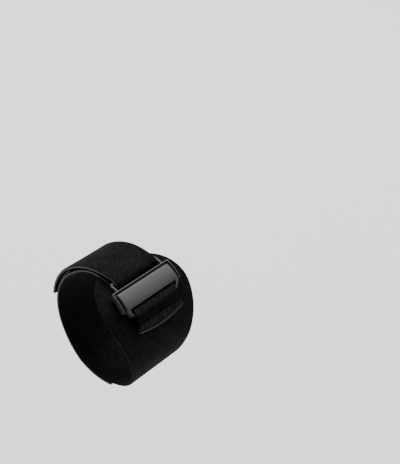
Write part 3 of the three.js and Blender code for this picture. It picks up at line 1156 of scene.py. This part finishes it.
def pile_group(name):
    """Brushed loop cloth: fine tangled loops, a lay along the cloth and faint soft patches."""
    inputs = {"Place": "Vector", "Dark": "Color", "Light": "Color"}
    outputs = {"Colour": "Color", "Roughness": "Float", "Height": "Float"}
    tree, given, out = new_group(name, inputs, outputs)
    place = given["Place"]
    laid = stretched(tree, place, scale=(1.0, 0.55, 1.0))
    loops = noise(tree, laid, scale=1900, detail=3.0, rough=0.65)
    fibres = blended(tree, loops, noise(tree, place, scale=620), share=0.4)
    soft = ranged(tree, noise(tree, place, scale=95), *NOISE_SPAN, to_low=-0.04, to_high=0.04)
    shade = ranged(tree, plus(tree, fibres, soft), low=0.39, high=0.62)
    fill(tree, out["Colour"], mixed(tree, shade, given["Dark"], given["Light"]))
    fill(tree, out["Roughness"], ranged(tree, shade, 0.0, 1.0, to_low=1.0, to_high=0.82))
    fill(tree, out["Height"], fibres)
    return tree


def lint_group(name):
    """Sparse pale specks of lint."""
    inputs = {"Place": "Vector", "Colour": "Color", "Speck": "Color", "Amount": "Float"}
    tree, given, out = new_group(name, inputs, {"Colour": "Color"})
    cells = added(tree, "TexVoronoi", Vector=given["Place"], Scale=420)
    near = ranged(tree, cells["Distance"], low=0.10, high=0.04)
    chosen = ranged(tree, added(tree, "SeparateColor", Color=cells["Color"])["Red"], low=0.93, high=0.95)
    share = times(tree, times(tree, near, chosen), given["Amount"])
    fill(tree, out["Colour"], mixed(tree, share, given["Colour"], given["Speck"]))
    return tree


def core_group(name):
    """Where the foam shows at a cut edge: 1 in the middle of the cloth's thickness."""
    inputs = {"Place": "Vector", "Half foam": "Float"}
    tree, given, out = new_group(name, inputs, {"Mask": "Float", "Height": "Float"})
    place = given["Place"]
    frayed = times(tree, noise(tree, place, scale=900, detail=3.0, rough=0.6), FRAY)
    through = maths(tree, "ABSOLUTE", added(tree, "SeparateXYZ", Vector=place)["Z"])
    inside = maths(tree, "SUBTRACT", given["Half foam"], plus(tree, through, frayed))
    fill(tree, out["Mask"], ranged(tree, inside, *CORE_EDGE))
    fill(tree, out["Height"], noise(tree, place, scale=3200))
    return tree


CLOTH_GROUPS = {"Brushed pile": pile_group, "Lint": lint_group, "Foam core": core_group}


def laminate(name, colours, foam, half_foam):
    """Brushed cloth on both faces of a foam core. Its node groups are made once."""
    pile_tree, lint_tree, core_tree = (
        bpy.data.node_groups.get(label) or make(label) for label, make in CLOTH_GROUPS.items()
    )
    material, tree = new_material(name)
    place = own_coordinates(tree)
    dark, light = toned(colours.pile_dark), toned(colours.pile_light)
    pile = added(tree, "Group", pile_tree, Place=place, Dark=dark, Light=light)
    lint = added(
        tree, "Group", lint_tree, Place=place, Colour=pile["Colour"], Speck=toned(colours.lint),
        Amount=0.55,
    )
    core = added(tree, "Group", core_tree, Place=place, Half_foam=half_foam)
    foam_tone = mixed(tree, ranged(tree, core["Height"], low=0.35, high=0.65), *tones(foam, low=0.55))
    shaded(
        tree, Base_Color=mixed(tree, core["Mask"], lint["Colour"], foam_tone),
        Roughness=pile["Roughness"], IOR=1.14, Sheen_Weight=0.008, Sheen_Roughness=0.5,
        Normal=bump(tree, pile["Height"], strength=0.55, distance=0.00035),
    )
    return material


def wave_along(tree, value, pitch):
    return maths(tree, "SINE", times(tree, value, 2 * math.pi / pitch))


def webbing_material(colours, sealed_from, highlight_rows):
    """Ribbed webbing: a painted highlight on its roll and sewn ridge, painted shade elsewhere, and a
    melted edge at its end that is lighter partly as a painted highlight.
    """
    material, tree = new_material("Ribbed webbing")
    place = own_coordinates(tree)
    parts = added(tree, "SeparateXYZ", Vector=place)
    warp = ranged(tree, wave_along(tree, parts["X"], WARP_PITCH), -1, 1, to_low=0.35, to_high=1.0)
    weave = times(tree, wave_along(tree, parts["Y"], RIB_PITCH), warp)
    height = plus(tree, times(tree, weave, 0.5), noise(tree, place, scale=2600, rough=0.6))
    patches = noise(tree, place, scale=420, detail=3.0, rough=0.6)
    fuzz = plus(
        tree, ranged(tree, height, low=0.1, high=1.1, to_high=0.5),
        ranged(tree, patches, *NOISE_SPAN, to_high=0.8),
    )
    # Painted highlight: the webbing is 13 times lighter on its roll over the near bar and on its sewn
    # ridge; everywhere else it is half its colour, a painted shade.
    rows = [between(tree, parts["Y"], *row) for row in highlight_rows]
    shade = times(tree, fuzz, maths(tree, "MAXIMUM", *rows))
    cloth = mixed(tree, shade, *tones(colours.webbing, low=0.5, high=13.0))
    at_end = plus(tree, parts["Y"], times(tree, noise(tree, place, scale=700), END_WANDER))
    # The melted edge at the end: a lower roughness, and a grey colour that is partly a painted
    # highlight.
    sealed_edge_and_glint = ranged(tree, at_end, sealed_from, sealed_from + SEAL_EDGE)
    shaded(
        tree, Base_Color=mixed(tree, sealed_edge_and_glint, cloth, toned(colours.sealed_edge_and_glint)),
        Roughness=ranged(tree, sealed_edge_and_glint, 0.0, 1.0, to_low=0.55, to_high=0.38), IOR=1.11,
        Normal=bump(tree, height, strength=0.7, distance=0.0003),
    )
    return material


def thread_material(colours):
    material, tree = new_material("Sewing thread")
    twist = noise(tree, stretched(tree, object_coordinates(tree), scale=(1.0, 0.35, 1.0)), scale=4200)
    shaded(
        tree, Base_Color=mixed(tree, twist, *tones(colours.thread, low=0.5, high=2.4)), Roughness=0.5,
        Specular_IOR_Level=0.4, Normal=bump(tree, twist, strength=0.5, distance=0.0001),
    )
    return material


def hook_material(colours):
    """Hook tape: a field of tiny stiff hooks."""
    material, tree = new_material("Hook tape")
    cells = added(tree, "TexVoronoi", Vector=own_coordinates(tree), Scale=850, Randomness=0.25)
    hooks = ranged(tree, cells["Distance"], low=0.5, high=0.1)
    shaded(
        tree, Base_Color=mixed(tree, hooks, *tones(colours.hook, low=0.5, high=2.5)), Roughness=0.55,
        Normal=bump(tree, hooks, strength=0.8, distance=0.0004),
    )
    return material


def plastic_material(colours):
    """Satin moulded plastic: fine spark grain, soft flow marks and a little handling shine."""
    material, tree = new_material("Satin moulded plastic")
    place = object_coordinates(tree)
    grain = noise(tree, place, scale=5200, rough=0.55)
    flow = noise(tree, stretched(tree, place, scale=(0.5, 1.0, 1.0)), scale=130, detail=3.0)
    specks = noise(tree, place, scale=1500, detail=1.0)
    tone = blended(tree, flow, grain, share=0.4)
    shine = plus(
        tree, ranged(tree, flow, *NOISE_SPAN, to_low=0.44, to_high=0.56),
        ranged(tree, specks, *NOISE_SPAN, to_low=-0.03, to_high=0.05),
    )
    shade = mixed(tree, ranged(tree, tone, *NOISE_SPAN), *tones(colours.plastic, low=0.82, high=1.2))
    shaded(
        tree, Base_Color=shade, Roughness=shine, Specular_IOR_Level=0.5,
        Normal=bump(tree, grain, strength=0.22, distance=0.00006),
    )
    return material


def floor_material(colours):
    material, tree = new_material("Studio floor")
    shade = ranged(tree, noise(tree, object_coordinates(tree), scale=2.5), *NOISE_SPAN)
    tone = mixed(tree, shade, *tones(colours.floor, low=0.99))
    shaded(tree, Base_Color=tone, Roughness=0.9, Specular_IOR_Level=0.1)
    return material


# Half the foam's thickness that shows at a cut edge, as a share of the laminate's thickness
PAD_FOAM = 0.24
STRAP_FOAM = 0.3


# Operators
class STRAP_OT_pad(bpy.types.Operator):
    """Make the padded band with its round lobe"""

    bl_idname = "strap.pad"
    bl_label = "Pad"

    def execute(self, context):
        layout = Layout(context.scene.strap_settings)
        pad, colours = layout.sizes.pad, layout.sizes.colours
        piece, area = make_pad(layout)
        finish = laminate("Pad laminate", colours, colours.pad_foam, pad.thickness * PAD_FOAM)
        finish_soft(piece, layout, finish, "pad_fabric", "pad")
        return {"FINISHED"}


class STRAP_OT_closing_strap(bpy.types.Operator):
    """Make the closing strap, folded back round the far bar, and its seam"""

    bl_idname = "strap.closing_strap"
    bl_label = "Closing strap"

    def execute(self, context):
        layout = Layout(context.scene.strap_settings)
        strap, colours = layout.sizes.strap, layout.sizes.colours
        piece, run, area = make_strap(layout)
        finish = laminate("Strap laminate", colours, colours.foam, strap.thickness * STRAP_FOAM)
        finish_soft(piece, layout, finish, "strap_laminate", "closing_strap")
        stitch = layout.sizes.webbing.stitch * SEAM_STITCH
        seam = stitches("seam_stitches", layout, seam_stitch_places(layout), stitch)
        finish_soft(seam, layout, thread_material(colours), "strap_laminate")
        return {"FINISHED"}


class STRAP_OT_hook_tab(bpy.types.Operator):
    """Make the hook tape under the folded end"""

    bl_idname = "strap.hook_tab"
    bl_label = "Hook tab"

    def execute(self, context):
        layout = Layout(context.scene.strap_settings)
        piece = make_tab(layout)
        finish_soft(piece, layout, hook_material(layout.sizes.colours), "hook_tape", "hook_tab")
        return {"FINISHED"}


class STRAP_OT_webbing(bpy.types.Operator):
    """Make the webbing loop that holds the buckle, with its stitches"""

    bl_idname = "strap.webbing"
    bl_label = "Webbing loop"

    def execute(self, context):
        layout = Layout(context.scene.strap_settings)
        web, colours = layout.sizes.webbing, layout.sizes.colours
        piece, run, area = make_webbing(layout)
        finish = webbing_material(colours, run - web.bead, painted_highlight_rows(layout, run))
        finish_soft(piece, layout, finish, "webbing", "buckle_loop")
        stitch = web.stitch * WEB_STITCH
        sewn = stitches("webbing_stitches", layout, webbing_stitch_places(layout), stitch)
        finish_soft(sewn, layout, thread_material(colours), "webbing")
        return {"FINISHED"}


class STRAP_OT_buckle(bpy.types.Operator):
    """Make the moulded buckle"""

    bl_idname = "strap.buckle"
    bl_label = "Buckle"

    def execute(self, context):
        layout = Layout(context.scene.strap_settings)
        piece = make_buckle(layout)
        lay_on_loop(piece, layout)
        finish_piece(piece, plastic_material(layout.sizes.colours), "buckle_plastic", "buckle")
        alone(piece)
        bpy.ops.object.shade_smooth_by_angle(angle=SMOOTH_ANGLE)
        return {"FINISHED"}


class STRAP_OT_stage(bpy.types.Operator):
    """Make the pale floor, the soft studio light and the camera"""

    bl_idname = "strap.stage"
    bl_label = "Stage"

    def execute(self, context):
        add_floor(context.scene.strap_settings.colours)
        add_lights()
        add_camera()
        return {"FINISHED"}


# Stage
FLOOR_DROP = 0.42
FLOOR_SIZE = 12.0
CAMERA_PLACE = Vector((-0.43888, -0.49956, 0.61270))
CAMERA_TURN = math.radians(-45.854)
CAMERA_RISE = math.radians(39.286)
CAMERA_LENS = 107.12
SENSOR_LONG_SIDE = 36.0
NEAREST, FARTHEST = 0.01, 50.0

# Soft boxes: name, place, width, height, power in watts
SOFT_BOXES = (
    ("key", (1.08, -0.36, 1.50), 1.6, 1.6, 23.0),
    ("overhead", (0.6, 1.5, 2.6), 2.2, 2.2, 165.0),
)
SKY_STRENGTH = 0.28


def add_floor(colours):
    bpy.ops.mesh.primitive_plane_add(size=FLOOR_SIZE, location=(0, 0, -FLOOR_DROP))
    floor = bpy.context.active_object
    floor.name = "studio_floor"
    floor.data.materials.append(floor_material(colours))


def add_lights():
    world = bpy.data.worlds.new("Studio")
    bpy.context.scene.world = world
    world.use_nodes = True
    sky = world.node_tree.nodes["Background"]
    sky.inputs["Color"].default_value = (1.0, 1.0, 1.0, 1.0)
    sky.inputs["Strength"].default_value = SKY_STRENGTH
    for name, place, width, height, power in SOFT_BOXES:
        light = bpy.data.lights.new(name, "AREA")
        light.shape = "RECTANGLE"
        light.size = width
        light.size_y = height
        light.energy = power
        lamp = bpy.data.objects.new(name, light)
        lamp.location = place
        lamp.rotation_euler = (-Vector(place)).to_track_quat("-Z", "Y").to_euler()
        bpy.context.scene.collection.objects.link(lamp)


def add_camera():
    data = bpy.data.cameras.new("Camera")
    data.sensor_fit = "AUTO"
    data.sensor_width = SENSOR_LONG_SIDE
    data.lens = CAMERA_LENS
    data.clip_start = NEAREST
    data.clip_end = FARTHEST
    camera = bpy.data.objects.new("Camera", data)
    back = Vector((
        math.sin(CAMERA_TURN) * math.cos(CAMERA_RISE),
        -math.cos(CAMERA_TURN) * math.cos(CAMERA_RISE),
        math.sin(CAMERA_RISE),
    ))
    camera.location = CAMERA_PLACE
    camera.rotation_euler = (-back).to_track_quat("-Z", "Y").to_euler()
    bpy.context.scene.collection.objects.link(camera)
    bpy.context.scene.camera = camera


class STRAP_PT_panel(bpy.types.Panel):
    """Sizes, colours and pieces of the strap"""

    bl_label = "Tennis elbow strap"
    bl_idname = "STRAP_PT_panel"
    bl_space_type = "VIEW_3D"
    bl_region_type = "UI"
    bl_category = "Strap"

    def draw(self, context):
        settings = context.scene.strap_settings
        for group in StrapSettings.__annotations__:
            box = self.layout.box()
            box.label(text=group.capitalize())
            sizes = getattr(settings, group)
            for name in sizes.__annotations__:
                box.prop(sizes, name)
        for operator in OPERATORS:
            self.layout.operator(operator.bl_idname)


GROUPS = (LoopSizes, PadSizes, StrapSizes, BuckleSizes, WebbingSizes, FinishColours, StrapSettings)
OPERATORS = (
    STRAP_OT_stage, STRAP_OT_buckle, STRAP_OT_pad, STRAP_OT_closing_strap, STRAP_OT_hook_tab,
    STRAP_OT_webbing,
)


def register():
    for item in (*GROUPS, *OPERATORS, STRAP_PT_panel):
        bpy.utils.register_class(item)
    bpy.types.Scene.strap_settings = PointerProperty(type=StrapSettings)


def unregister():
    del bpy.types.Scene.strap_settings
    for item in reversed((*GROUPS, *OPERATORS, STRAP_PT_panel)):
        bpy.utils.unregister_class(item)


def main():
    register()
    bpy.ops.strap.stage()
    bpy.ops.strap.buckle()
    bpy.ops.strap.pad()
    bpy.ops.strap.closing_strap()
    bpy.ops.strap.hook_tab()
    bpy.ops.strap.webbing()


if __name__ == "__main__":
    main()
